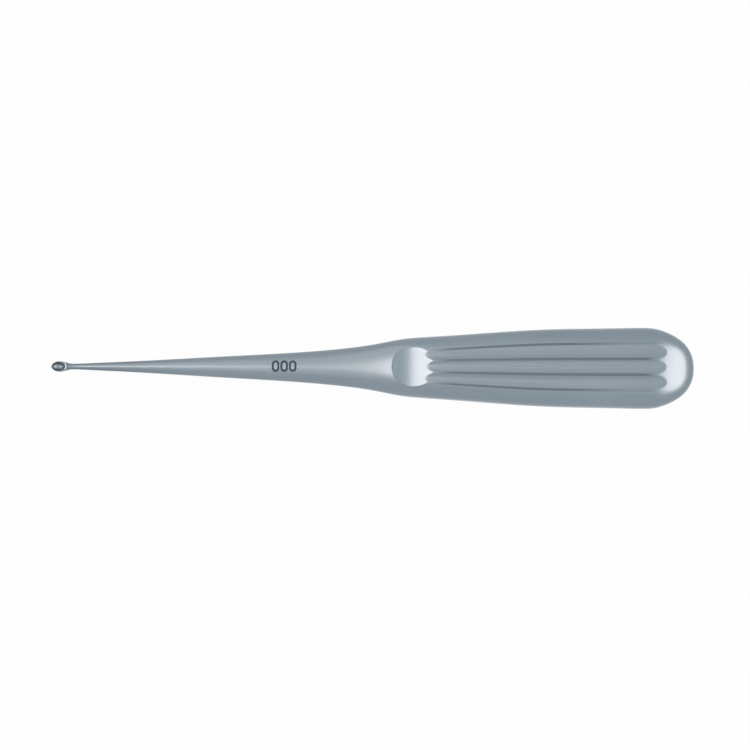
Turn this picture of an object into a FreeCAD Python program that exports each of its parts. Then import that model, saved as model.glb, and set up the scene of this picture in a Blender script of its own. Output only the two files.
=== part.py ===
import FreeCAD, Part
import math
import os

# Bone curette of the fluted-handle pattern, forged and ground from one piece of stainless steel.
# X runs along the tool with the cup at -X and the butt at +X. The mouth of the cup and the
# thumb rest look up, and the tool lies on the crests of its back flutes at Z = 0.

# Lengths of the stretches from the tip to the butt, in mm, the grip taking what is left
overall_length = 170.0
cup_length = 4.0
neck_length = 3.5
shank_length = 56.5
shoulder_length = 31.5
butt_length = 13.0

# Widths seen from the front
cup_width = 2.62
neck_width = 1.52
shank_width = 7.52
shoulder_width = 15.7
handle_width = 21.48

# Thicknesses seen from the side
cup_thickness = 2.6
neck_thickness = 1.42
shank_thickness = 5.4
shoulder_thickness = 9.6
handle_thickness = 11.6

# How far the handle's section stands out past an ellipse at its four corners, as a share
corner_fullness = 0.09

# Cup: its rim, milled flat above the axis of the tool, ramps up to the neck
rim_height = 0.2
rim_length = 3.85
mill_radius = 1.95
ramp_radius = 0.8
bowl_length = 3.4
bowl_width = 2.3
bowl_depth = 1.05
tip_wall = 0.35

# Thumb rest, a hollow ground across the front of the shoulder
thumb_rest_radius = 24.0
thumb_rest_depth = 0.59
thumb_rest_setback = 2.1

# Flutes of the grip, the same on the front and on the back, spaced by angle round the section
flute_count = 3
flute_pitch = 22.0
flute_depth = 0.38
flute_setback = 1.0
flute_nose = 2.5
flute_follow = 2.5
crest_land = 0.5
run_out = 6.0

# Share of their angle by which the outermost crests close in where the flutes start, and the
# length over which they open out
crest_closing = 0.15
crest_opening = 40.0

# Control sections of each stretch: share of its length, of its change in width and in thickness.
# The cup's are shares of its whole width and thickness. The grip's thickness grows evenly, so
# that the tool lies steady on straight crests.
CUP_FORM = ((0, 0, 0), (0, 0.23, 0.23), (0.25, 1.02, 1.02), (0.62, 1.09, 1.07), (1, 0.91, 0.88))
NECK_FORM = ((0.13, 0.27, 0.27), (0.43, -0.03, -0.03), (1, 0, 0))
SHANK_FORM = ((0.08, 0.08, 0.12), (0.31, 0.27, 0.35), (0.65, 0.67, 0.71), (1, 1, 1))
SHOULDER_FORM = ((0.44, 0.29, 0.21), (0.7, 0.58, 0.44), (0.86, 0.86, 0.67), (1, 1, 1))
GRIP_FORM = (
    (0.12, 0.145, 0.45),
    (0.32, 0.455, 0.575),
    (0.56, 0.84, 0.725),
    (0.82, 0.89, 0.8875),
    (1, 1, 1),
)
BUTT_FORM = ((0.37, 0.02, 0.02), (1, 0.455, 0.455), (1, 1, 1))

# Bowl of the cup: shares of its length and of its width and depth
BOWL_FORM = ((0, 0), (0, 0.5), (0.28, 1.02), (0.72, 1.02), (1, 0.5), (1, 0))

# Flute cutter: shares of its nose's length and of its radius there, then shares of the way
# from the nose to where the flutes leave the surface
NOSE_FORM = ((0, 0), (0, 0.6), (0.4, 1), (1, 1))
FLUTE_STATIONS = (0.12, 0.25, 0.5, 0.75, 1)

# Poles of each section, faces the skin is parted into all round, and steps of a search along it
ring_poles = 24
skin_sides = 4
bowl_sides = 2
halvings = 50

tip_x = -overall_length / 2
butt_x = overall_length / 2
cup_end = tip_x + cup_length
neck_end = cup_end + neck_length
shank_end = neck_end + shank_length
shoulder_end = shank_end + shoulder_length
grip_end = butt_x - butt_length
flute_start = shoulder_end - flute_setback
flute_end = grip_end + flute_follow


def stretch(form, start_x, end_x, start_size, end_size):
    """Control sections of one stretch as rows of X, half width and half thickness."""
    rows = []
    for length_share, width_share, thickness_share in form:
        rows.append((
            start_x + (end_x - start_x) * length_share,
            (start_size[0] + (end_size[0] - start_size[0]) * width_share) / 2,
            (start_size[1] + (end_size[1] - start_size[1]) * thickness_share) / 2,
        ))
    return rows


def blank_outline():
    """Control sections of the forging, from its tip to its butt."""
    nothing = (0.0, 0.0)
    cup = (cup_width, cup_thickness)
    neck = (neck_width, neck_thickness)
    shank = (shank_width, shank_thickness)
    shoulder = (shoulder_width, shoulder_thickness)
    handle = (handle_width, handle_thickness)
    return (
        stretch(CUP_FORM, tip_x, cup_end, nothing, cup)
        + stretch(NECK_FORM, cup_end, neck_end, neck, cup)
        + stretch(SHANK_FORM, neck_end, shank_end, neck, shank)
        + stretch(SHOULDER_FORM, shank_end, shoulder_end, shank, shoulder)
        + stretch(GRIP_FORM, shoulder_end, grip_end, shoulder, handle)
        + stretch(BUTT_FORM, grip_end, butt_x, handle, nothing)
    )


def fullness_at(x):
    """The section is a true oval up to the shank's end and grows full along the shoulder."""
    share = min(max((x - shank_end) / shoulder_length, 0.0), 1.0)
    return corner_fullness * share * share * (3 - 2 * share)


def ring(x, y, z, half_width, half_height, fullness=0.0):
    """Poles of one closed section, set out so that the curve itself has the stated half sizes."""
    step = 2 * math.pi / ring_poles
    reach = 3 / (2 + math.cos(step))
    poles = []
    for index in range(ring_poles):
        angle = step * (index - 1)
        scale = reach * (1 + fullness * math.sin(2 * angle) ** 2)
        poles.append(FreeCAD.Vector(
            x,
            y + half_width * scale * math.cos(angle),
            z + half_height * scale * math.sin(angle),
        ))
    return poles


def skin(rings):
    """Smooth surface over rings of poles, along X and all the way round."""
    count = len(rings)
    surface = Part.BSplineSurface()
    surface.buildFromPolesMultsKnots(
        rings,
        [4] + [1] * (count - 4) + [4],
        [1] * (ring_poles + 1),
        list(range(count - 2)),
        list(range(ring_poles + 1)),
        False,
        True,
        3,
        3,
    )
    return surface


def parameter_at(surface, x):
    """The surface's lengthwise parameter at X, found by halving."""
    low, high = surface.bounds()[0:2]
    for _ in range(halvings):
        middle = (low + high) / 2
        if surface.value(middle, 0).x < x:
            low = middle
        else:
            high = middle
    return low


def point_on(surface, x, angle):
    """Point of a skin at X, at an angle in degrees from the +Y side towards the front."""
    return surface.value(parameter_at(surface, x), angle / 360 * ring_poles)


def filled(faces):
    """Solid inside a closed set of faces, with its skin turned outwards."""
    shell = Part.Shell(faces)
    if len(faces) > 1:
        shell.sewShape()
    solid = Part.makeSolid(shell)
    if solid.Volume < 0:
        solid.reverse()
    return solid


def closed_solid(surface, joints=(), sides=1):
    """Solid inside a skin, which is parted at each X in joints and into equal sides all round."""
    low, high, start, end = surface.bounds()
    places = [low] + [parameter_at(surface, x) for x in joints] + [high]
    seams = [start + (end - start) * side / sides for side in range(sides + 1)]
    faces = []
    for first, last in zip(places, places[1:]):
        for left, right in zip(seams, seams[1:]):
            faces.append(surface.toShape(first, last, left, right))
    return filled(faces)


def crest_angle(x, number):
    """Angle at X of the crest before the flute of that number."""
    offset = number - flute_count / 2
    if abs(offset) == flute_count / 2:
        share = min(max((x - flute_start) / crest_opening, 0.0), 1.0)
        offset *= 1 - crest_closing * (1 - share) ** 2
    return 90 + flute_pitch * offset


def flute_section(surface, x, number):
    """Circle that cuts a flute's section: X, Y and Z of its centre and its radius."""
    first_angle = crest_angle(x, number)
    last_angle = crest_angle(x, number + 1)
    depth = flute_depth * ((last_angle - first_angle) / flute_pitch) ** 2
    first = point_on(surface, x, first_angle)
    last = point_on(surface, x, last_angle)
    across = last - first
    chord = across.Length - crest_land
    radius = (chord ** 2 / 4 + depth ** 2) / (2 * depth)
    outward = FreeCAD.Vector(0, across.z, -across.y).normalize()
    centre = (first + last) / 2 + outward * (radius - depth)
    return x, centre.y, centre.z, radius


def flute_cutter(surface, number):
    """Round-nosed cutter that follows the grip and runs straight out past the butt."""
    nose_end = flute_start + flute_nose
    far = butt_x + run_out
    sections = []
    for nose_share, radius_share in NOSE_FORM:
        x, y, z, radius = flute_section(surface, flute_start + flute_nose * nose_share, number)
        sections.append((x, y, z, radius * radius_share))
    for share in FLUTE_STATIONS:
        sections.append(flute_section(surface, nose_end + (flute_end - nose_end) * share, number))
    x, y, z, radius = sections[-1]
    sections.append(((x + far) / 2, y, z, radius))
    sections.append((far, y, z, radius))
    sections.append((far, y, z, 0.0))
    return closed_solid(skin([ring(x, y, z, radius, radius) for x, y, z, radius in sections]))


def flute_cutters(surface):
    """Cutters for the front flutes and, turned over, the same for the back."""
    cutters = []
    for number in range(flute_count):
        front = flute_cutter(surface, number)
        cutters.append(front)
        cutters.append(front.mirror(FreeCAD.Vector(), FreeCAD.Vector(0, 0, 1)))
    return cutters


def thumb_rest_cutter(surface):
    """Roller that lies across the front and sinks into the crown of the shoulder."""
    x = shoulder_end - thumb_rest_setback
    crown = point_on(surface, x, 90).z
    length = 2 * handle_width
    corner = FreeCAD.Vector(x, -length / 2, crown - thumb_rest_depth + thumb_rest_radius)
    return Part.makeCylinder(thumb_rest_radius, length, corner, FreeCAD.Vector(0, 1, 0))


def rim_cutter():
    """Upright mill with a round corner, which clears the rim and leaves the ramp to the neck."""
    place = FreeCAD.Vector(tip_x + rim_length - mill_radius, 0, rim_height)
    shoulder = place + FreeCAD.Vector(0, 0, ramp_radius)
    flat = Part.makeCylinder(mill_radius, cup_thickness, place)
    corner = Part.makeTorus(mill_radius, ramp_radius, shoulder)
    body = Part.makeCylinder(mill_radius + ramp_radius, cup_thickness, shoulder)
    return flat.fuse(corner).fuse(body)


def bowl_cutter():
    """Egg that hollows the cup below its rim."""
    rings = []
    for length_share, size_share in BOWL_FORM:
        x = tip_x + tip_wall + bowl_length * length_share
        rings.append(ring(x, 0, rim_height, bowl_width / 2 * size_share, bowl_depth * size_share))
    return closed_solid(skin(rings), sides=bowl_sides)


def curette():
    surface = skin([ring(x, 0, 0, width, height, fullness_at(x)) for x, width, height in blank_outline()])
    body = closed_solid(surface, (cup_end, neck_end, shank_end, shoulder_end, grip_end), skin_sides)
    for cutter in [rim_cutter(), bowl_cutter(), thumb_rest_cutter(surface)] + flute_cutters(surface):
        body = body.cut(cutter)
    back = body.optimalBoundingBox(False, False).ZMin
    body.translate(FreeCAD.Vector(0, 0, -back))
    return body.Solids[0]


os.makedirs("parts", exist_ok=True)
curette().exportStep("parts/curette.step")
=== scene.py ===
"""Bone curette: satin steel skin, size mark and studio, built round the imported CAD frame.

X runs along the tool with the cup at -X and the butt at +X. The mouth of the cup, the thumb
rest and the front flutes look up. Sizes are in metres, and a table that says so is in mm.
"""

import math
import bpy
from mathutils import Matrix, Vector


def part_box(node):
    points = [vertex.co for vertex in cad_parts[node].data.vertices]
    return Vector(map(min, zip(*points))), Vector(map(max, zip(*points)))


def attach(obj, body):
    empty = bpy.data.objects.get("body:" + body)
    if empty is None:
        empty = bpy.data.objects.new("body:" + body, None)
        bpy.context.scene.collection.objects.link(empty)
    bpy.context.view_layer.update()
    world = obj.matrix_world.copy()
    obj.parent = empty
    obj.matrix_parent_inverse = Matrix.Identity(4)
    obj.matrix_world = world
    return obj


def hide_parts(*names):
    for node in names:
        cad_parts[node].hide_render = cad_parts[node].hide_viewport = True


bl_info = {
    "name": "Bone Curette",
    "version": (1, 0, 0),
    "blender": (4, 5, 0),
    "location": "View3D > Sidebar > Curette",
    "description": "Grinds the curette's satin steel skin, marks its size and sets up its studio",
    "category": "Object",
}

import bpy
from bpy.props import FloatProperty, FloatVectorProperty, IntProperty, PointerProperty
from mathutils import Matrix, Vector

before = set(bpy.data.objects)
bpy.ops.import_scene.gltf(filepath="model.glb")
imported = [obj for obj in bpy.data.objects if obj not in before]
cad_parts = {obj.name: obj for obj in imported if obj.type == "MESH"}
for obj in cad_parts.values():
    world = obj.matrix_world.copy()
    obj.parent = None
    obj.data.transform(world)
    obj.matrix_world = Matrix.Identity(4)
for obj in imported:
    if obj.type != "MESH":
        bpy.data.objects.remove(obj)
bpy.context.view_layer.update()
TOOL_LOW, TOOL_HIGH = (Vector(corner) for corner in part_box("curette"))
TIP_X = TOOL_LOW.x
TOOL_LENGTH = TOOL_HIGH.x - TOOL_LOW.x
AXIS_HEIGHT = (TOOL_LOW.z + TOOL_HIGH.z) / 2
MM = 0.001

# Form of each stretch of the forging, as rows of shares: of its length, of its change in width
# and of its change in thickness
CUP_FORM = ((0, 0, 0), (0, 0.23, 0.23), (0.25, 1.02, 1.02), (0.62, 1.09, 1.07), (1, 0.91, 0.88))
NECK_FORM = ((0.13, 0.27, 0.27), (0.43, -0.03, -0.03), (1, 0, 0))
SHANK_FORM = ((0.08, 0.08, 0.12), (0.31, 0.27, 0.35), (0.65, 0.67, 0.71), (1, 1, 1))
SHOULDER_FORM = ((0.44, 0.29, 0.21), (0.7, 0.58, 0.44), (0.86, 0.86, 0.67), (1, 1, 1))
GRIP_FORM = (
    (0.12, 0.145, 0.45),
    (0.32, 0.455, 0.575),
    (0.56, 0.84, 0.725),
    (0.82, 0.89, 0.8875),
    (1, 1, 1),
)
BUTT_FORM = ((0.37, 0.02, 0.02), (1, 0.455, 0.455), (1, 1, 1))

# How far apart the skin's rings lie, in mm: up to that place from the tip, that far
RING_SPACING = (
    (4.8, 0.05),
    (12.0, 0.13),
    (90.0, 1.3),
    (105.0, 0.11),
    (156.0, 1.5),
    (170.0, 0.2),
)
# Steps of a walk along the forging from one of its sections to the next
WALK_STEPS = 400


# Node trees


class Field:
    """A number in a node tree that takes plain arithmetic, each step of it a Math node."""

    def __init__(self, bench, socket):
        self.bench = bench
        self.socket = socket

    def __add__(self, other):
        return self.bench.math("ADD", self, other)

    def __radd__(self, other):
        return self.bench.math("ADD", other, self)

    def __sub__(self, other):
        return self.bench.math("SUBTRACT", self, other)

    def __rsub__(self, other):
        return self.bench.math("SUBTRACT", other, self)

    def __mul__(self, other):
        return self.bench.math("MULTIPLY", self, other)

    def __rmul__(self, other):
        return self.bench.math("MULTIPLY", other, self)

    def __truediv__(self, other):
        return self.bench.math("DIVIDE", self, other)

    def __rtruediv__(self, other):
        return self.bench.math("DIVIDE", other, self)


class Bench:
    """Adds nodes to one tree, fills their inputs and lays them out in columns."""

    ROWS = 7

    def __init__(self, tree):
        self.tree = tree
        self.made = 0

    def add(self, kind, inputs=(), **settings):
        """New node with its settings made and its inputs filled, each by name or number."""
        node = self.tree.nodes.new(kind)
        node.location = (190 * (self.made // self.ROWS), -190 * (self.made % self.ROWS))
        self.made += 1
        for name, value in settings.items():
            setattr(node, name, value)
        for name, value in dict(inputs).items():
            self.fill(node.inputs[name], value)
        return node

    def fill(self, target, value):
        """Links an input to a field or a socket, or else sets it."""
        if isinstance(value, Field):
            self.tree.links.new(value.socket, target)
        elif isinstance(value, bpy.types.NodeSocket):
            self.tree.links.new(value, target)
        else:
            target.default_value = value

    def math(self, operation, *values):
        node = self.add("ShaderNodeMath", dict(enumerate(values)), operation=operation)
        return Field(self, node.outputs[0])

    def field(self, socket):
        return Field(self, socket)

    def smooth_step(self, value, low, high):
        """0 up to low, 1 from high on, and an easy change between them."""
        node = self.add(
            "ShaderNodeMapRange",
            {"Value": value, "From Min": low, "From Max": high},
            interpolation_type="SMOOTHSTEP",
        )
        return Field(self, node.outputs["Result"])


class ShapeBench(Bench):
    """A Geometry Nodes tree with named inputs."""

    def __init__(self, name, inputs):
        tree = bpy.data.node_groups.new(name, "GeometryNodeTree")
        tree.is_modifier = True
        super().__init__(tree)
        tree.interface.new_socket("Geometry", in_out="INPUT", socket_type="NodeSocketGeometry")
        for label, kind in inputs:
            tree.interface.new_socket(label, in_out="INPUT", socket_type=kind)
        tree.interface.new_socket("Geometry", in_out="OUTPUT", socket_type="NodeSocketGeometry")
        self.entry = self.add("NodeGroupInput")

    def given(self, label):
        """Value of one of the tree's named inputs."""
        return Field(self, self.entry.outputs[label])

    def attribute(self, name):
        node = self.add("GeometryNodeInputNamedAttribute", {"Name": name}, data_type="FLOAT")
        return Field(self, node.outputs["Attribute"])

    def store(self, geometry, name, value):
        """Keeps a number on every point under a name."""
        node = self.add(
            "GeometryNodeStoreNamedAttribute",
            {"Geometry": geometry, "Name": name, "Value": value},
            data_type="FLOAT",
            domain="POINT",
        )
        return node.outputs["Geometry"]

    def position(self):
        """Where each point is, as X, Y and Z."""
        place = self.add("GeometryNodeInputPosition")
        parts = self.add("ShaderNodeSeparateXYZ", {0: place.outputs[0]})
        return tuple(Field(self, socket) for socket in parts.outputs)

    def move_to(self, geometry, x, y, z):
        place = self.add("ShaderNodeCombineXYZ", {"X": x, "Y": y, "Z": z})
        node = self.add("GeometryNodeSetPosition", {"Geometry": geometry, "Position": place.outputs[0]})
        return node.outputs["Geometry"]

    def finish(self, geometry, material):
        """Ends the tree in real geometry with its material."""
        real = self.add("GeometryNodeRealizeInstances", {"Geometry": geometry})
        painted = self.add(
            "GeometryNodeSetMaterial",
            {"Geometry": real.outputs["Geometry"], "Material": material},
        )
        out = self.add("NodeGroupOutput")
        self.tree.links.new(painted.outputs["Geometry"], out.inputs["Geometry"])


def grown(name, mesh, tree, values):
    """Object whose mesh is what a tree makes of the given mesh, as a plain mesh."""
    seed = bpy.data.objects.new(name, mesh)
    bpy.context.scene.collection.objects.link(seed)
    modifier = seed.modifiers.new(tree.name, "NODES")
    modifier.node_group = tree
    for item in tree.interface.items_tree:
        if item.in_out == "INPUT" and item.name in values:
            modifier[item.identifier] = values[item.name]
    graph = bpy.context.evaluated_depsgraph_get()
    made = bpy.data.meshes.new_from_object(
        seed.evaluated_get(graph), preserve_all_data_layers=True, depsgraph=graph
    )
    seed.modifiers.clear()
    seed.data = made
    made.name = name
    bpy.data.meshes.remove(mesh)
    return seed


# The forging's rings

# Where along the tool the painted shade on the crests and on the flanks comes in or goes out: place from
# the tip and length, in metres
SHADE_LINES_BEGIN = (99.0 * MM, 8.0 * MM)
SHADE_LINES_END = (156.5 * MM, 4.5 * MM)
OUTER_SHADE_LINES_FADE = (138.0 * MM, 14.0 * MM)
FLANK_SHADE_FADE = (9.0 * MM, 25.0 * MM)


def stretch_ends():
    """Places from the tip where the cup, neck, shank, shoulder, grip and butt end."""
    sizes = bpy.context.scene.curette_forging
    cup_end = sizes.cup_length
    neck_end = cup_end + sizes.neck_length
    shank_end = neck_end + sizes.shank_length
    shoulder_end = shank_end + sizes.shoulder_length
    return cup_end, neck_end, shank_end, shoulder_end, TOOL_LENGTH - sizes.butt_length, TOOL_LENGTH


def forging_sections():
    """Sections that steer the forging: place from the tip, half width and half thickness."""
    sizes = bpy.context.scene.curette_forging
    nothing = Vector((0, 0))
    cup = Vector((sizes.cup_width, sizes.cup_thickness)) / 2
    neck = Vector((sizes.neck_width, sizes.neck_thickness)) / 2
    shank = Vector((sizes.shank_width, sizes.shank_thickness)) / 2
    shoulder = Vector((sizes.shoulder_width, sizes.shoulder_thickness)) / 2
    handle = Vector((sizes.handle_width, sizes.handle_thickness)) / 2
    stretches = (
        (CUP_FORM, nothing, cup),
        (NECK_FORM, neck, cup),
        (SHANK_FORM, neck, shank),
        (SHOULDER_FORM, shank, shoulder),
        (GRIP_FORM, shoulder, handle),
        (BUTT_FORM, handle, nothing),
    )
    sections = []
    start = 0.0
    for (form, first, last), end in zip(stretches, stretch_ends()):
        for along, across, through in form:
            size = first + (last - first) * Vector((across, through))
            sections.append(Vector((start + (end - start) * along, *size)))
        start = end
    return sections


def forging_at(sections, place):
    """Place from the tip, half width and half thickness on the smooth curve the sections steer."""
    last = len(sections) - 3
    knots = [0] * 3 + list(range(last + 1)) + [last] * 3
    span = min(int(place), last - 1) + 3
    rows = sections[span - 3:span + 1]
    for level in range(1, 4):
        for index in range(3, level - 1, -1):
            low = knots[span - 3 + index]
            high = knots[span + 1 + index - level]
            rows[index] = rows[index - 1].lerp(rows[index], (place - low) / (high - low))
    return rows[3]


def forging_rings():
    """Rings along the forging, close together where its form is fine."""
    sections = forging_sections()
    spans = len(sections) - 3
    rings = [forging_at(sections, 0.0)]
    walked = 0.0
    before = rings[0]
    for step in range(1, WALK_STEPS * spans):
        here = forging_at(sections, step / WALK_STEPS)
        walked += (here.xy - before.xy).length
        before = here
        spacing = next(gap for limit, gap in RING_SPACING if here.x <= limit * MM)
        if walked >= spacing * MM:
            rings.append(here)
            walked = 0.0
    rings.append(forging_at(sections, float(spans)))
    return rings


def section_at(rings, x):
    """Half width and half thickness of the ring nearest to a place from the tip."""
    return min(rings, key=lambda ring: abs(ring.x - x)).yz


def rise(x, start, length):
    """0 up to start and 1 from start plus length on, with a straight rise between them."""
    return min(max((x - start) / length, 0.0), 1.0)


def spine_mesh():
    """Line of points along the tool, one for each ring, that carry what the skin needs there."""
    sizes = bpy.context.scene.curette_skin
    shank_end, shoulder_end, grip_end = stretch_ends()[2:5]
    flute_end = grip_end + sizes.flute_follow
    rings = forging_rings()
    rows = []
    for x, width, thickness in rings:
        growth = rise(x, shank_end, shoulder_end - shank_end)
        nose = rise(x, sizes.flute_start, sizes.flute_nose)
        opened = rise(x, sizes.flute_start, sizes.crest_opening)
        guide = section_at(rings, flute_end) if x > flute_end else (width, thickness)
        rows.append({
            "half_width": width,
            "half_thickness": thickness,
            "fullness": sizes.fullness * growth * growth * (3 - 2 * growth),
            "guide_width": guide[0],
            "guide_thickness": guide[1],
            "flute_share": math.sqrt(1 - (1 - nose) ** 2),
            "closing": sizes.crest_closing * (1 - opened) ** 2,
            # Painted shade lines along the crests: where they come in, and where the outer ones fade
            "lined": rise(x, *SHADE_LINES_BEGIN) - rise(x, *SHADE_LINES_END),
            "fading": rise(x, *OUTER_SHADE_LINES_FADE),
            # Painted shade on the flanks, full near the cup and gone further along
            "thin": 1 - rise(x, *FLANK_SHADE_FADE),
        })
    mesh = bpy.data.meshes.new("spine")
    points = [(TIP_X + x, 0.0, 0.0) for x, width, thickness in rings]
    mesh.from_pydata(points, [(index, index + 1) for index in range(len(points) - 1)], [])
    for name in rows[0]:
        column = mesh.attributes.new(name, "FLOAT", "POINT")
        column.data.foreach_set("value", [row[name] for row in rows])
    return mesh


# The skin

SKIN_INPUTS = (
    ("Flute Count", "NodeSocketInt"),
    ("Flute Pitch", "NodeSocketFloat"),
    ("Flute Depth", "NodeSocketFloat"),
    ("Crest Land", "NodeSocketFloat"),
    ("Crest Softness", "NodeSocketFloat"),
    ("Rest Place", "NodeSocketFloat"),
    ("Rest Floor", "NodeSocketFloat"),
    ("Rest Radius", "NodeSocketFloat"),
    ("Rim Height", "NodeSocketFloat"),
    ("Mill Place", "NodeSocketFloat"),
    ("Mill Radius", "NodeSocketFloat"),
    ("Ramp Radius", "NodeSocketFloat"),
    ("Bowl Centre", "NodeSocketFloat"),
    ("Bowl Length", "NodeSocketFloat"),
    ("Bowl Width", "NodeSocketFloat"),
    ("Bowl Depth", "NodeSocketFloat"),
    ("Axis Height", "NodeSocketFloat"),
    ("Steps per Flute", "NodeSocketInt"),
    ("Steps per Side", "NodeSocketInt"),
    ("Steel", "NodeSocketMaterial"),
)
QUARTER = math.pi / 2
FAR = 1.0
# Stands in for nothing where one divides by a length
TINY = 1e-9

# How far the section swings out at its four corners and in between them, as a share of fullness
CORNER_SWING = 0.42
# How much the bowl's wall leans in below its edge, as a share
WALL_EASE = 0.12
# How near to the bowl's edge, as a share of the bowl's size, points are drawn onto it
DRAWN_REACH = 0.02
# Bend between two faces from which their edge looks sharp, and how near to the bowl's edge
SHARP_BEND = math.radians(35)
BRIM_REACH = 0.1
# How far in from the bowl's edge the painted shade in the bowl is full
BOWL_SHADE_REACH = 0.3
# Depths of cut over which the painted shade line of a crest or of the thumb rest's edge ends, and the
# smooth ground steel of the thumb rest and the cup begins
SHADE_LINE_CUT = (0.02 * MM, 0.08 * MM)
POLISH_CUT = (0.02 * MM, 0.06 * MM)
# Angle past the outermost crests at which the painted shade lines end, and the share of the outermost
# lines' painted shade that fades away towards the butt
SHADE_LINE_MARGIN = 0.03
OUTER_LOSS = 0.7
# Farthest that two of the skin's points lie apart and are still made one
WELD = 0.0005 * MM


def section_loop(bench):
    """Closed loop of points round the section that crowd together at the crests of the flutes."""
    count = bench.given("Flute Count")
    per_flute = bench.given("Steps per Flute")
    per_side = bench.given("Steps per Side")
    fluted = count * per_flute
    half = fluted + per_side
    loop = bench.add("GeometryNodeCurvePrimitiveCircle", {"Resolution": half * 2})
    index = bench.field(bench.add("GeometryNodeInputIndex").outputs[0])
    turned_over = bench.math("FLOOR", index / half)
    in_half = index - turned_over * half
    spread = count * bench.given("Flute Pitch")
    step = in_half / per_flute
    flute = bench.math("FLOOR", step)
    on_flute = (flute + bench.smooth_step(step - flute, 0.0, 1.0)) / count * spread
    on_side = spread + bench.smooth_step((in_half - fluted) / per_side, 0.0, 1.0) * (math.pi - spread)
    past_flutes = bench.math("GREATER_THAN", in_half, fluted - 0.5)
    angle = (
        QUARTER - spread / 2 + turned_over * math.pi
        + on_flute * (1 - past_flutes) + on_side * past_flutes
    )
    loop = bench.store(loop.outputs["Curve"], "angle", angle)
    return bench.store(loop, "pull", crest_pull(bench, angle, spread))


def crest_pull(bench, angle, spread):
    """Turn of a point if the outermost crests close in all the way: most at them, less beside."""
    pitch = bench.given("Flute Pitch")
    from_crown = angle - QUARTER
    from_crown = from_crown - bench.math("ROUND", from_crown / math.pi) * math.pi
    off_crown = bench.math("ABSOLUTE", from_crown)
    towards_crown = (off_crown - (spread / 2 - pitch)) / pitch
    towards_side = (QUARTER - off_crown) / (QUARTER - spread / 2)
    tent = bench.math("MAXIMUM", bench.math("MINIMUM", towards_crown, towards_side), 0.0)
    return tent * bench.math("SIGN", from_crown) * spread / -2


def section_point(bench, angle, width, thickness, fullness):
    """Y and Z on the section, which stands out past an ellipse at its four corners."""
    reach = 1 + fullness * (0.5 - CORNER_SWING * bench.math("COSINE", angle * 4))
    return width * reach * bench.math("COSINE", angle), thickness * reach * bench.math("SINE", angle)


def roller_floor(bench, distance, radius, centre):
    """Height of the underside of a round cutter, or far up where it doesn't reach."""
    inside = radius * radius - distance * distance
    drop = bench.math("SQRT", bench.math("MAXIMUM", inside, 0.0))
    outside = bench.math("LESS_THAN", inside, 0.0)
    return centre - drop + outside * FAR


def crest_angle(bench, number):
    """Angle of the crest before the flute of that number. The outermost close in at the start."""
    half = bench.given("Flute Count") / 2
    offset = number - half
    outermost = bench.math("GREATER_THAN", bench.math("ABSOLUTE", offset), half - 0.5)
    return QUARTER + bench.given("Flute Pitch") * offset * (1 - bench.attribute("closing") * outermost)


def ground_flutes(bench, skin):
    """Cuts the flutes one by one, the same on the front and on the back."""
    start = bench.add("GeometryNodeRepeatInput")
    end = bench.add("GeometryNodeRepeatOutput")
    start.pair_with_output(end)
    bench.fill(start.inputs["Iterations"], bench.given("Flute Count"))
    bench.tree.links.new(skin, start.inputs["Geometry"])
    number = bench.field(start.outputs["Iteration"])
    first_angle = crest_angle(bench, number)
    last_angle = crest_angle(bench, number + 1)
    narrowed = (last_angle - first_angle) / bench.given("Flute Pitch")
    depth = bench.given("Flute Depth") * narrowed * narrowed
    guide = (
        bench.attribute("guide_width"), bench.attribute("guide_thickness"), bench.attribute("fullness")
    )
    first_y, first_z = section_point(bench, first_angle, *guide)
    last_y, last_z = section_point(bench, last_angle, *guide)
    across_y = last_y - first_y
    across_z = last_z - first_z
    gap = bench.math("SQRT", across_y * across_y + across_z * across_z) + TINY
    chord = gap - bench.given("Crest Land")
    radius = (chord * chord / 4 + depth * depth) / (depth * 2)
    lift = radius - depth
    centre_y = (first_y + last_y) / 2 + across_z / gap * lift
    centre_z = (first_z + last_z) / 2 - across_y / gap * lift
    x, y, z = bench.position()
    floor = roller_floor(bench, y - centre_y, radius * bench.attribute("flute_share"), centre_z)
    height = bench.math("SMOOTH_MIN", bench.math("ABSOLUTE", z), floor, bench.given("Crest Softness"))
    cut = bench.move_to(start.outputs["Geometry"], x, y, height * bench.math("SIGN", z))
    bench.tree.links.new(cut, end.inputs["Geometry"])
    return end.outputs["Geometry"]


def out_from_bowl(bench, x, y):
    """Square of how far out from the bowl's middle a point lies, where its edge lies at 1."""
    along = (x - bench.given("Bowl Centre")) / bench.given("Bowl Length") * 2
    aside = y / bench.given("Bowl Width") * 2
    return along * along + aside * aside


def drawn_to_bowl(bench, x, y, front):
    """X and Y of the points, those next to the bowl's edge drawn onto it for a clean edge."""
    centre = bench.given("Bowl Centre")
    reach = bench.math("SQRT", out_from_bowl(bench, x, y))
    near = bench.math("LESS_THAN", bench.math("ABSOLUTE", reach - 1), DRAWN_REACH) * front
    pull = 1 + near * (1 / bench.math("MAXIMUM", reach, TINY) - 1)
    return centre + (x - centre) * pull, y * pull


def rest_floor(bench, x):
    """Height of the roller's underside, which grinds the thumb rest."""
    radius = bench.given("Rest Radius")
    return roller_floor(bench, x - bench.given("Rest Place"), radius, bench.given("Rest Floor") + radius)


def cup_floor(bench, x, y, hollow):
    """Height of the cup's milled rim and of its ramp, sunk by the bowl where that is hollow."""
    ramp = bench.given("Ramp Radius")
    from_mill = x - bench.given("Mill Place")
    reach = bench.math("SQRT", from_mill * from_mill + y * y)
    up_ramp = bench.math("MAXIMUM", reach - bench.given("Mill Radius"), 0.0)
    mouth = roller_floor(bench, up_ramp, ramp, bench.given("Rim Height") + ramp)
    eased = hollow * bench.math("SQRT", (1 + WALL_EASE) / (hollow + WALL_EASE))
    return mouth - bench.given("Bowl Depth") * eased


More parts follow.
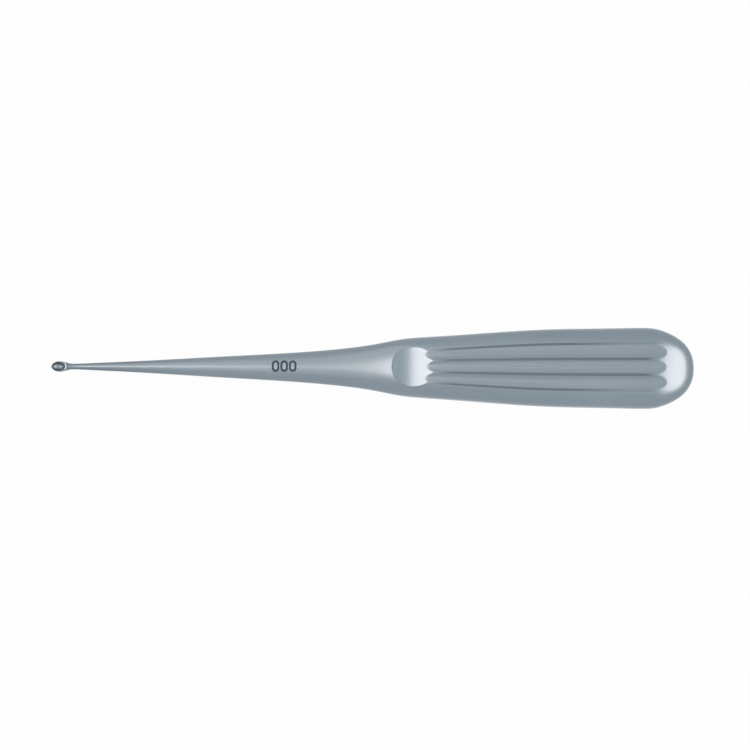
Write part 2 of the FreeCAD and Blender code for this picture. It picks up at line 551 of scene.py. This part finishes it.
def ground_front(bench, skin):
    """Cuts the thumb rest, the cup's rim with its ramp, and the bowl, all from above."""
    x, y, z = bench.position()
    front = bench.math("GREATER_THAN", z, 0.0)
    x, y = drawn_to_bowl(bench, x, y, front)
    inside = 1 - out_from_bowl(bench, x, y)
    hollow = bench.math("MAXIMUM", inside, 0.0)
    rest = rest_floor(bench, x)
    softness = bench.given("Crest Softness")
    height = bench.math("SMOOTH_MIN", z, rest, softness)
    height = bench.math("SMOOTH_MIN", height, cup_floor(bench, x, y, hollow), softness / 2)
    shades_and_finishes = {
        # Painted shade: a dark line where the thumb rest's cut meets the crown
        "edge": 1 - bench.smooth_step(bench.math("ABSOLUTE", z - rest), *SHADE_LINE_CUT),
        # Painted shade: darker steel in the bowl, full a little in from its brim
        "bowl": bench.smooth_step(hollow, 0.0, BOWL_SHADE_REACH),
        "brim": bench.math("LESS_THAN", bench.math("ABSOLUTE", inside), BRIM_REACH),
        "polish": bench.smooth_step(z - height, *POLISH_CUT),
    }
    for name, amount in shades_and_finishes.items():
        skin = bench.store(skin, name, amount * front)
    return bench.move_to(skin, x, y, z + (height - z) * front)


def crisp_brim(bench, skin):
    """Lets the sharp edges at the bowl's brim look sharp."""
    bend = bench.field(bench.add("GeometryNodeInputMeshEdgeAngle").outputs["Unsigned Angle"])
    limit = SHARP_BEND + (1 - bench.attribute("brim")) * math.pi
    node = bench.add(
        "GeometryNodeSetShadeSmooth",
        {"Geometry": skin, "Shade Smooth": bench.math("LESS_THAN", bend, limit)},
        domain="EDGE",
    )
    return node.outputs["Geometry"]


def skin_tree():
    """Sweeps the section along the spine and grinds the flutes, the thumb rest and the cup."""
    bench = ShapeBench("Curette Skin", SKIN_INPUTS)
    spine = bench.add("GeometryNodeMeshToCurve", {"Mesh": bench.entry.outputs["Geometry"]})
    sweep = bench.add(
        "GeometryNodeCurveToMesh",
        {"Curve": spine.outputs["Curve"], "Profile Curve": section_loop(bench)},
    )
    x, y, z = bench.position()
    angle = bench.attribute("angle") + bench.attribute("pull") * bench.attribute("closing")
    blank_y, blank_z = section_point(
        bench, angle, bench.attribute("half_width"),
        bench.attribute("half_thickness"), bench.attribute("fullness"),
    )
    skin = bench.move_to(sweep.outputs["Mesh"], x, blank_y, blank_z)
    skin = bench.store(skin, "blank", bench.math("ABSOLUTE", bench.position()[2]))
    skin = ground_front(bench, ground_flutes(bench, skin))

    x, y, z = bench.position()
    cut = bench.attribute("blank") - bench.math("ABSOLUTE", z)
    sideways = bench.math("ABSOLUTE", bench.math("COSINE", bench.attribute("angle")))
    pitch = bench.given("Flute Pitch")
    fluted_to = bench.math("SINE", pitch * bench.given("Flute Count") / 2 + SHADE_LINE_MARGIN)
    # Painted shade: a dark line along each crest, where the cut is shallowest, within the flutes and the
    # stretch that carries the lines
    crest = (
        (1 - bench.smooth_step(cut, *SHADE_LINE_CUT))
        * bench.math("LESS_THAN", sideways, fluted_to)
        * bench.smooth_step(bench.attribute("lined"), 0.0, 1.0)
    )
    outermost = bench.math("GREATER_THAN", sideways, bench.math("SINE", pitch))
    skin = bench.store(skin, "crest", crest * (1 - outermost * bench.attribute("fading") * OUTER_LOSS))
    # Painted shade on the flanks: darker the more a point faces sideways, near the cup
    skin = bench.store(skin, "flank", sideways * sideways * bench.attribute("thin"))
    skin = bench.move_to(skin, x, y, z + bench.given("Axis Height"))
    closed = bench.add("GeometryNodeMergeByDistance", {"Geometry": skin, "Distance": WELD})
    smooth = bench.add("GeometryNodeSetShadeSmooth", {"Geometry": closed.outputs["Geometry"]})
    bench.finish(crisp_brim(bench, smooth.outputs["Geometry"]), bench.given("Steel"))
    return bench.tree


# Finishes and painted shade

# Lines and patches to the metre, along the tool and across it
GRAIN_SCALE = (45, 2600, 2600)
CLOUD_SCALE = (30, 170, 170)
MOTTLE_SCALE = 4000.0
# Height of the grinding lines' relief
GRAIN_HEIGHT = 0.01 * MM
# Light and dark of the etched mark's mottle, how much of a metal it looks and how dull
MOTTLE_CONTRAST = 0.5
MARK_METAL = 0.4
MARK_ROUGHNESS = 0.6


def new_material(name):
    """Material, a bench for its nodes and its shader."""
    material = bpy.data.materials.new(name)
    material.use_nodes = True
    shader = material.node_tree.nodes["Principled BSDF"]
    return material, Bench(material.node_tree), shader


def noise(bench, scale, detail):
    """Noise on the piece's own coordinates, with a scale for each of them."""
    place = bench.add("ShaderNodeTexCoord").outputs["Object"]
    mapping = bench.add("ShaderNodeMapping", {"Vector": place, "Scale": scale})
    node = bench.add(
        "ShaderNodeTexNoise", {"Vector": mapping.outputs[0], "Scale": 1.0, "Detail": detail}
    )
    return bench.field(node.outputs[0])


def toned(bench, colour, tone):
    """Colour made lighter or darker by a tone round 1."""
    return bench.add("ShaderNodeVectorMath", {0: colour, 1: tone}, operation="MULTIPLY").outputs[0]


def satin_steel(look):
    """Ground stainless steel with its grain along the tool, and painted shade on the crests, the thumb
    rest's edge, the flanks near the cup and in the bowl.
    """
    material, bench, shader = new_material("Satin steel")
    grain = noise(bench, GRAIN_SCALE, 4.0)
    cloud = noise(bench, CLOUD_SCALE, 2.0)
    crest, edge, polish, flank, bowl = (
        bench.field(bench.add("ShaderNodeAttribute", attribute_name=name).outputs["Fac"])
        for name in ("crest", "edge", "polish", "flank", "bowl")
    )
    satin = 1 - polish
    tone = 1 + ((grain - 0.5) * look.grain_contrast + (cloud - 0.5) * look.cloud_contrast) * satin
    # Painted shade: the crests' lines, the thumb rest's edge, the flanks near the cup and the bowl take
    # the crest colour
    painted_shade = crest
    for other in (edge * look.edge_shade, flank, bowl * look.bowl_shade):
        painted_shade = bench.math("MAXIMUM", painted_shade, other)
    shade = bench.add(
        "ShaderNodeMix",
        {"Factor": painted_shade, "A": (*look.steel, 1), "B": (*look.crest, 1)},
        data_type="RGBA",
    )
    dullness = look.roughness + (grain - 0.5) * look.grain_dulling * satin + bowl * look.bowl_dulling
    bump = bench.add(
        "ShaderNodeBump",
        {"Height": grain, "Strength": satin * look.grain_bump, "Distance": GRAIN_HEIGHT},
    )
    bench.fill(shader.inputs["Base Color"], toned(bench, shade.outputs["Result"], tone))
    bench.fill(shader.inputs["Roughness"], dullness)
    bench.fill(shader.inputs["Normal"], bump.outputs["Normal"])
    shader.inputs["Metallic"].default_value = 1.0
    return material


def etched_mark(look):
    """Dull dark bloom that an etched mark leaves in the steel."""
    material, bench, shader = new_material("Etched mark")
    mottle = noise(bench, (MOTTLE_SCALE, MOTTLE_SCALE, MOTTLE_SCALE), 2.0)
    tone = 1 + (mottle - 0.5) * MOTTLE_CONTRAST
    bench.fill(shader.inputs["Base Color"], toned(bench, tuple(look.mark), tone))
    shader.inputs["Metallic"].default_value = MARK_METAL
    shader.inputs["Roughness"].default_value = MARK_ROUGHNESS
    return material


# Size mark

MARK_INPUTS = (
    ("Rings", "NodeSocketInt"),
    ("Spacing", "NodeSocketFloat"),
    ("Ring Width", "NodeSocketFloat"),
    ("Ring Height", "NodeSocketFloat"),
    ("Stroke", "NodeSocketFloat"),
    ("Place", "NodeSocketVector"),
    ("Proud", "NodeSocketFloat"),
    ("Depth", "NodeSocketFloat"),
    ("Tool", "NodeSocketObject"),
    ("Etch", "NodeSocketMaterial"),
)
# Corner radius of a ring as a share of its width, just under the half that makes its ends round
CORNER_SHARE = 0.49
# Points on each corner, all round a ring and across its stroke
CORNER_POINTS = 10
RING_POINTS = 64
STROKE_POINTS = 4
# Farthest that two of its points lie apart and are still made one
MARK_WELD = 0.001 * MM


def ring_band(bench):
    """One upright ring, as a flat band as wide as the stroke."""
    stroke = bench.given("Stroke")
    width = bench.given("Ring Width") - stroke
    height = bench.given("Ring Height") - stroke
    outline = bench.add("GeometryNodeCurvePrimitiveQuadrilateral", {"Width": width, "Height": height})
    ring = bench.add(
        "GeometryNodeFilletCurve",
        {"Curve": outline.outputs["Curve"], "Radius": width * CORNER_SHARE, "Count": CORNER_POINTS},
        mode="POLY",
    )
    fine_ring = bench.add(
        "GeometryNodeResampleCurve", {"Curve": ring.outputs["Curve"], "Count": RING_POINTS}
    )
    nib_start = bench.add("ShaderNodeCombineXYZ", {"X": stroke / -2})
    nib_end = bench.add("ShaderNodeCombineXYZ", {"X": stroke / 2})
    nib = bench.add(
        "GeometryNodeCurvePrimitiveLine", {"Start": nib_start.outputs[0], "End": nib_end.outputs[0]}
    )
    fine_nib = bench.add(
        "GeometryNodeResampleCurve", {"Curve": nib.outputs["Curve"], "Count": STROKE_POINTS}
    )
    band = bench.add(
        "GeometryNodeCurveToMesh",
        {"Curve": fine_ring.outputs["Curve"], "Profile Curve": fine_nib.outputs["Curve"]},
    )
    return band.outputs["Mesh"]


def row_of(bench, band):
    """Bands side by side along the tool, above their place on it."""
    spacing = bench.given("Spacing")
    step = bench.add("ShaderNodeCombineXYZ", {"X": spacing})
    start = bench.add("ShaderNodeCombineXYZ", {"X": (bench.given("Rings") - 1) * spacing / -2})
    row = bench.add(
        "GeometryNodeMeshLine",
        {"Count": bench.given("Rings"), "Start Location": start.outputs[0], "Offset": step.outputs[0]},
    )
    spread = bench.add(
        "GeometryNodeInstanceOnPoints", {"Points": row.outputs["Mesh"], "Instance": band}
    )
    real = bench.add("GeometryNodeRealizeInstances", {"Geometry": spread.outputs["Instances"]})
    placed = bench.add(
        "GeometryNodeTransform",
        {"Geometry": real.outputs["Geometry"], "Translation": bench.given("Place")},
    )
    return placed.outputs["Geometry"]


def laid_on_tool(bench, bands):
    """The bands dropped onto the tool's skin, a little proud of it."""
    tool = bench.add("GeometryNodeObjectInfo", {"Object": bench.given("Tool")})
    down = bench.add(
        "GeometryNodeRaycast",
        {"Target Geometry": tool.outputs["Geometry"], "Ray Direction": (0, 0, -1), "Ray Length": FAR},
    )
    proud = bench.add("ShaderNodeCombineXYZ", {"Z": bench.given("Proud")})
    laid = bench.add(
        "GeometryNodeSetPosition",
        {"Geometry": bands, "Position": down.outputs["Hit Position"], "Offset": proud.outputs[0]},
    )
    return laid.outputs["Geometry"]


def mark_tree():
    """Row of upright rings laid on the tool's front, each a thin closed plate."""
    bench = ShapeBench("Size Mark", MARK_INPUTS)
    top = laid_on_tool(bench, row_of(bench, ring_band(bench)))
    bottom = bench.add("GeometryNodeFlipFaces", {"Mesh": top})
    sunk = bench.add("ShaderNodeCombineXYZ", {"Z": bench.given("Depth") * -1})
    walls = bench.add(
        "GeometryNodeExtrudeMesh",
        {
            "Mesh": bottom.outputs["Mesh"],
            "Offset": sunk.outputs[0],
            "Offset Scale": 1.0,
            "Individual": False,
        },
    )
    both = bench.add("GeometryNodeJoinGeometry")
    bench.tree.links.new(walls.outputs["Mesh"], both.inputs[0])
    bench.tree.links.new(top, both.inputs[0])
    closed = bench.add(
        "GeometryNodeMergeByDistance", {"Geometry": both.outputs[0], "Distance": MARK_WELD}
    )
    bench.finish(closed.outputs["Geometry"], bench.given("Etch"))
    return bench.tree


# Settings


def length(name, text, default):
    return FloatProperty(name=name, description=text, default=default, unit="LENGTH", precision=5)


def angle(name, text, degrees):
    return FloatProperty(name=name, description=text, default=math.radians(degrees), subtype="ANGLE")


def share(name, text, default):
    return FloatProperty(name=name, description=text, default=default, min=0.0, max=1.0)


def colour(name, text, default):
    return FloatVectorProperty(
        name=name, description=text, default=default, size=3, subtype="COLOR", min=0.0, max=1.0
    )


class CuretteForgingSizes(bpy.types.PropertyGroup):
    """Sizes of the forging, whose grip takes the length that its other stretches leave."""

    cup_length: length("Cup length", "From the tip to the neck", 4.0 * MM)
    neck_length: length("Neck length", "From the cup to the shank", 3.5 * MM)
    shank_length: length("Shank length", "From the neck to the shoulder", 56.5 * MM)
    shoulder_length: length("Shoulder length", "From the shank to the grip", 31.5 * MM)
    butt_length: length("Butt length", "Rounded end past the grip", 13.0 * MM)
    cup_width: length("Cup width", "Width seen from the front", 2.62 * MM)
    neck_width: length("Neck width", "Width at its thinnest", 1.52 * MM)
    shank_width: length("Shank width", "Width at its thick end", 7.52 * MM)
    shoulder_width: length("Shoulder width", "Width where the grip starts", 15.7 * MM)
    handle_width: length("Handle width", "Greatest width of the grip", 21.48 * MM)
    cup_thickness: length("Cup thickness", "Thickness before the rim is milled", 2.6 * MM)
    neck_thickness: length("Neck thickness", "Thickness at its thinnest", 1.42 * MM)
    shank_thickness: length("Shank thickness", "Thickness at its thick end", 5.4 * MM)
    shoulder_thickness: length("Shoulder thickness", "Thickness where the grip starts", 9.6 * MM)
    handle_thickness: length("Handle thickness", "Greatest thickness of the grip", 11.6 * MM)


class CuretteSkinSizes(bpy.types.PropertyGroup):
    """Sizes of what is ground into the forging. Places are measured from the tip."""

    fullness: share("Fullness", "How far the handle's section stands out past an ellipse", 0.09)
    flute_count: IntProperty(name="Flutes", description="Flutes on each face", default=3, min=1)
    flute_pitch: angle("Flute pitch", "Turn round the section from one flute to the next", 22)
    flute_depth: length("Flute depth", "Depth below the crests", 0.38 * MM)
    flute_start: length("Flute start", "Place where the noses of the flutes begin", 94.5 * MM)
    flute_nose: length("Flute nose", "Length of the round noses", 1.7 * MM)
    flute_follow: length("Flute follow", "How far into the butt the flutes follow its form", 2.5 * MM)
    crest_closing: share("Crest closing", "How far the outermost crests close in at the start", 0.15)
    crest_opening: length("Crest opening", "Length over which they open out", 40.0 * MM)
    crest_land: length("Crest land", "Width left between two flutes", 0.5 * MM)
    crest_softness: length("Crest softness", "How far the edges are rounded", 0.08 * MM)
    rest_place: length("Thumb rest place", "Place of the hollow's lowest line", 93.4 * MM)
    rest_depth: length("Thumb rest depth", "Depth below the crown there", 0.59 * MM)
    rest_radius: length("Thumb rest radius", "Radius of the hollow", 24.0 * MM)
    rim_height: length("Rim height", "Height of the cup's rim above the axis", 0.2 * MM)
    rim_length: length("Rim length", "Length of the flat rim", 3.85 * MM)
    mill_radius: length("Mill radius", "Radius of the mill's flat, seen from the front", 1.95 * MM)
    ramp_radius: length("Ramp radius", "Radius of the ramp up to the neck", 0.8 * MM)
    tip_wall: length("Tip wall", "Steel left in front of the bowl", 0.35 * MM)
    bowl_length: length("Bowl length", "Length of the bowl at the rim", 3.4 * MM)
    bowl_width: length("Bowl width", "Width of the bowl at the rim", 2.3 * MM)
    bowl_depth: length("Bowl depth", "Depth of the bowl below the rim", 1.05 * MM)
    steps_per_flute: IntProperty(
        name="Steps per flute", description="Steps of the section across a flute", default=14, min=2
    )
    steps_per_side: IntProperty(
        name="Steps per side", description="Steps of the section round a plain side", default=60, min=2
    )


class CuretteFinish(bpy.types.PropertyGroup):
    """Colours and grain of the steel, and the painted shade on its crests, edge, flanks and bowl."""

    steel: colour("Steel", "Satin steel", (0.235, 0.287, 0.328))
    # Painted shade colour of the crests' dark lines, also taken by the thumb rest's edge, the flanks and
    # the bowl
    crest: colour("Crest", "Painted shade along the flutes' crests", (0.12, 0.155, 0.185))
    mark: colour("Mark", "Etched size mark", (0.03, 0.055, 0.075))
    # How much painted shade the thumb rest's edge takes
    edge_shade: share("Edge tone", "How much of the crests' colour the thumb rest's edge has", 0.4)
    # How much painted shade the bowl takes
    bowl_shade: share("Bowl tone", "How much of the crests' colour the bowl has", 0.35)
    roughness: share("Roughness", "Dullness of the satin", 0.26)
    grain_dulling: share("Grain dulling", "Change of dullness along the grinding lines", 0.1)
    bowl_dulling: share("Bowl dulling", "How much duller the bowl is", 0.12)
    grain_contrast: share("Grain contrast", "Light and dark of the grinding lines", 0.12)
    cloud_contrast: share("Cloud contrast", "Light and dark of broad patches", 0.12)
    grain_bump: share("Grain bump", "Strength of the grinding lines' relief", 0.15)


class CuretteMarkSizes(bpy.types.PropertyGroup):
    """Size mark on the front of the shank."""

    rings: IntProperty(name="Rings", description="Upright rings in the row", default=3, min=1)
    place: length("Place", "Middle of the row, from the tip", 61.75 * MM)
    shift: length("Shift", "From the tool's middle line up to the row's", 0.13 * MM)
    spacing: length("Spacing", "From one ring to the next", 2.26 * MM)
    width: length("Ring width", "Width of a ring over its stroke", 2.0 * MM)
    height: length("Ring height", "Height of a ring over its stroke", 3.04 * MM)
    stroke: length("Stroke", "Width of the line", 0.54 * MM)
    proud: length("Proud", "How far the mark stands out of the steel, to show", 0.006 * MM)
    depth: length("Depth", "How far its walls reach down into the steel", 0.05 * MM)


class CuretteStudio(bpy.types.PropertyGroup):
    """Camera of the studio."""

    elevation: angle("Elevation", "Height of the camera above the horizon", 86.2)
    roll: angle("Roll", "Clockwise turn of the tool in the picture", 0.19)
    distance: length("Distance", "From the camera to the tool", 1.2)
    view_width: length("View width", "Width of the picture at the tool", 198.3 * MM)
    centre: FloatVectorProperty(
        name="Centre", description="Point in the middle of the picture",
        default=(0.725 * MM, -1.98 * MM, AXIS_HEIGHT), size=3, unit="LENGTH",
    )


# Operators


class CURETTE_OT_skin(bpy.types.Operator):
    """Sweep and grind the curette's steel skin"""

    bl_idname = "curette.skin"
    bl_label = "Grind Skin"

    def execute(self, context):
        sizes = context.scene.curette_skin
        crown = section_at(forging_rings(), sizes.rest_place)[1]
        values = {
            "Flute Count": sizes.flute_count,
            "Flute Pitch": sizes.flute_pitch,
            "Flute Depth": sizes.flute_depth,
            "Crest Land": sizes.crest_land,
            "Crest Softness": sizes.crest_softness,
            "Rest Place": TIP_X + sizes.rest_place,
            "Rest Floor": crown - sizes.rest_depth,
            "Rest Radius": sizes.rest_radius,
            "Rim Height": sizes.rim_height,
            "Mill Place": TIP_X + sizes.rim_length - sizes.mill_radius,
            "Mill Radius": sizes.mill_radius,
            "Ramp Radius": sizes.ramp_radius,
            "Bowl Centre": TIP_X + sizes.tip_wall + sizes.bowl_length / 2,
            "Bowl Length": sizes.bowl_length,
            "Bowl Width": sizes.bowl_width,
            "Bowl Depth": sizes.bowl_depth,
            "Axis Height": AXIS_HEIGHT,
            "Steps per Flute": sizes.steps_per_flute,
            "Steps per Side": sizes.steps_per_side,
            "Steel": satin_steel(context.scene.curette_finish),
        }
        skin = grown("curette_skin", spine_mesh(), skin_tree(), values)
        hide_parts("curette")
        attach(skin, "root")
        return {"FINISHED"}


class CURETTE_OT_size_mark(bpy.types.Operator):
    """Etch the size mark into the front of the shank"""

    bl_idname = "curette.size_mark"
    bl_label = "Etch Size Mark"

    def execute(self, context):
        sizes = context.scene.curette_mark
        values = {
            "Rings": sizes.rings,
            "Spacing": sizes.spacing,
            "Ring Width": sizes.width,
            "Ring Height": sizes.height,
            "Stroke": sizes.stroke,
            "Place": (TIP_X + sizes.place, sizes.shift, 2 * TOOL_HIGH.z),
            "Proud": sizes.proud,
            "Depth": sizes.depth,
            "Tool": bpy.data.objects["curette_skin"],
            "Etch": etched_mark(context.scene.curette_finish),
        }
        mark = grown("size_mark", bpy.data.meshes.new("mark"), mark_tree(), values)
        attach(mark, "root")
        return {"FINISHED"}


# Stage

FLOOR_REACH = 4.0
FLOOR_DROP = 0.02 * MM
FLOOR_TONE = 0.9
FLOOR_ROUGHNESS = 0.8
# Share of the floor's look that is plain white, so that the rest keeps a soft shadow
FLOOR_WHITE = 0.97
# Strength of the world's light on surfaces. What the camera sees of it is white
AMBIENT = 0.3
LAMP_DISTANCE = 3.0
LAMP_COLOUR = (1.0, 0.81, 0.71)
# Soft boxes: lean from overhead and turn in degrees, width and depth in metres, brightness
LAMPS = {
    "left_box": (-28, -7, 2.3, 1.75, 2.8),
    "right_box": (45.5, 0, 2.3, 4.1, 2.3),
    "right_glow": (51, 0, 3.2, 6.0, 0.25),
    "upper_box": (44, 117, 3.2, 1.6, 0.45),
    "lower_box": (20, -97, 1.4, 0.8, 0.3),
}
CAMERA_CLIP = (0.01, 50.0)


def seen_directly(bench):
    """1 for what the camera sees, itself or in metal or glass, and 0 for light on surfaces."""
    path = bench.add("ShaderNodeLightPath")
    direct = bench.field(path.outputs["Is Camera Ray"])
    for kind in ("Is Glossy Ray", "Is Transmission Ray"):
        direct = bench.math("MAXIMUM", direct, path.outputs[kind])
    return direct


def floor_paint():
    """Pale paint that reads white and keeps a soft shadow."""
    material, bench, shader = new_material("Pale floor")
    shader.inputs["Base Color"].default_value = (FLOOR_TONE, FLOOR_TONE, FLOOR_TONE, 1)
    shader.inputs["Roughness"].default_value = FLOOR_ROUGHNESS
    shader.inputs["Specular IOR Level"].default_value = 0.0
    glow = bench.add("ShaderNodeEmission", {"Color": (1, 1, 1, 1), "Strength": 1.0})
    mix = bench.add("ShaderNodeMixShader", {"Fac": seen_directly(bench) * FLOOR_WHITE})
    bench.tree.links.new(shader.outputs[0], mix.inputs[1])
    bench.tree.links.new(glow.outputs[0], mix.inputs[2])
    bench.tree.links.new(mix.outputs[0], bench.tree.nodes["Material Output"].inputs["Surface"])
    return material


def pale_floor():
    """Wide floor just under the tool."""
    mesh = bpy.data.meshes.new("floor")
    reach = FLOOR_REACH
    corners = [(-reach, -reach, 0), (reach, -reach, 0), (reach, reach, 0), (-reach, reach, 0)]
    mesh.from_pydata(corners, [], [(0, 1, 2, 3)])
    mesh.materials.append(floor_paint())
    floor = bpy.data.objects.new("floor", mesh)
    bpy.context.scene.collection.objects.link(floor)
    floor.location.z = -FLOOR_DROP


def white_world():
    """White surroundings that light the tool only faintly."""
    world = bpy.data.worlds.new("White studio")
    world.use_nodes = True
    bench = Bench(world.node_tree)
    background = world.node_tree.nodes["Background"]
    background.inputs["Color"].default_value = (1, 1, 1, 1)
    bench.fill(background.inputs["Strength"], AMBIENT + seen_directly(bench) * (1 - AMBIENT))
    bpy.context.scene.world = world


def soft_box(name, lean, turn, width, depth, brightness):
    """Oval soft box that faces the tool, leant from overhead towards +X and then turned about Z."""
    light = bpy.data.lights.new(name, "AREA")
    light.shape = "ELLIPSE"
    light.size = width
    light.size_y = depth
    light.color = LAMP_COLOUR
    light.energy = brightness * math.pi * width * depth * math.pi / 4
    box = bpy.data.objects.new(name, light)
    bpy.context.scene.collection.objects.link(box)
    box.matrix_world = (
        Matrix.Rotation(math.radians(turn), 4, "Z")
        @ Matrix.Rotation(math.radians(lean), 4, "Y")
        @ Matrix.Translation((0, 0, LAMP_DISTANCE))
    )


def long_lens_camera(studio):
    """Camera at a distance, level with the picture's middle and turned by the roll."""
    data = bpy.data.cameras.new("camera")
    data.lens = data.sensor_width * studio.distance / studio.view_width
    data.clip_start, data.clip_end = CAMERA_CLIP
    camera = bpy.data.objects.new("camera", data)
    bpy.context.scene.collection.objects.link(camera)
    back = Vector((0.0, -math.cos(studio.elevation), math.sin(studio.elevation)))
    look = (-back).to_track_quat("-Z", "Y").to_matrix().to_4x4()
    camera.matrix_world = (
        Matrix.Translation(Vector(studio.centre) + back * studio.distance)
        @ look
        @ Matrix.Rotation(studio.roll, 4, "Z")
    )
    bpy.context.scene.camera = camera


class CURETTE_OT_stage(bpy.types.Operator):
    """Set up the floor, the light and the camera"""

    bl_idname = "curette.stage"
    bl_label = "Set Stage"

    def execute(self, context):
        pale_floor()
        white_world()
        for name, lamp in LAMPS.items():
            soft_box(name, *lamp)
        long_lens_camera(context.scene.curette_studio)
        context.scene.view_settings.view_transform = "Standard"
        return {"FINISHED"}


# Panel and registration


class CURETTE_PT_panel(bpy.types.Panel):
    """Lists the curette's sizes and steps"""

    bl_label = "Bone Curette"
    bl_idname = "CURETTE_PT_panel"
    bl_space_type = "VIEW_3D"
    bl_region_type = "UI"
    bl_category = "Curette"

    def draw(self, context):
        for settings, step in (
            ("curette_finish", None),
            ("curette_forging", None),
            ("curette_skin", "curette.skin"),
            ("curette_mark", "curette.size_mark"),
            ("curette_studio", "curette.stage"),
        ):
            box = self.layout.box()
            group = getattr(context.scene, settings)
            for name in group.bl_rna.properties.keys():
                if name not in ("rna_type", "name"):
                    box.prop(group, name)
            if step:
                box.operator(step)


GROUPS = {
    "curette_forging": CuretteForgingSizes,
    "curette_skin": CuretteSkinSizes,
    "curette_finish": CuretteFinish,
    "curette_mark": CuretteMarkSizes,
    "curette_studio": CuretteStudio,
}
CLASSES = (
    *GROUPS.values(),
    CURETTE_OT_skin,
    CURETTE_OT_size_mark,
    CURETTE_OT_stage,
    CURETTE_PT_panel,
)


def register():
    for cls in CLASSES:
        bpy.utils.register_class(cls)
    for name, group in GROUPS.items():
        setattr(bpy.types.Scene, name, PointerProperty(type=group))


def unregister():
    for name in GROUPS:
        delattr(bpy.types.Scene, name)
    for cls in reversed(CLASSES):
        bpy.utils.unregister_class(cls)


def main():
    register()
    bpy.ops.curette.skin()
    bpy.ops.curette.size_mark()
    bpy.ops.curette.stage()


if __name__ == "__main__":
    main()
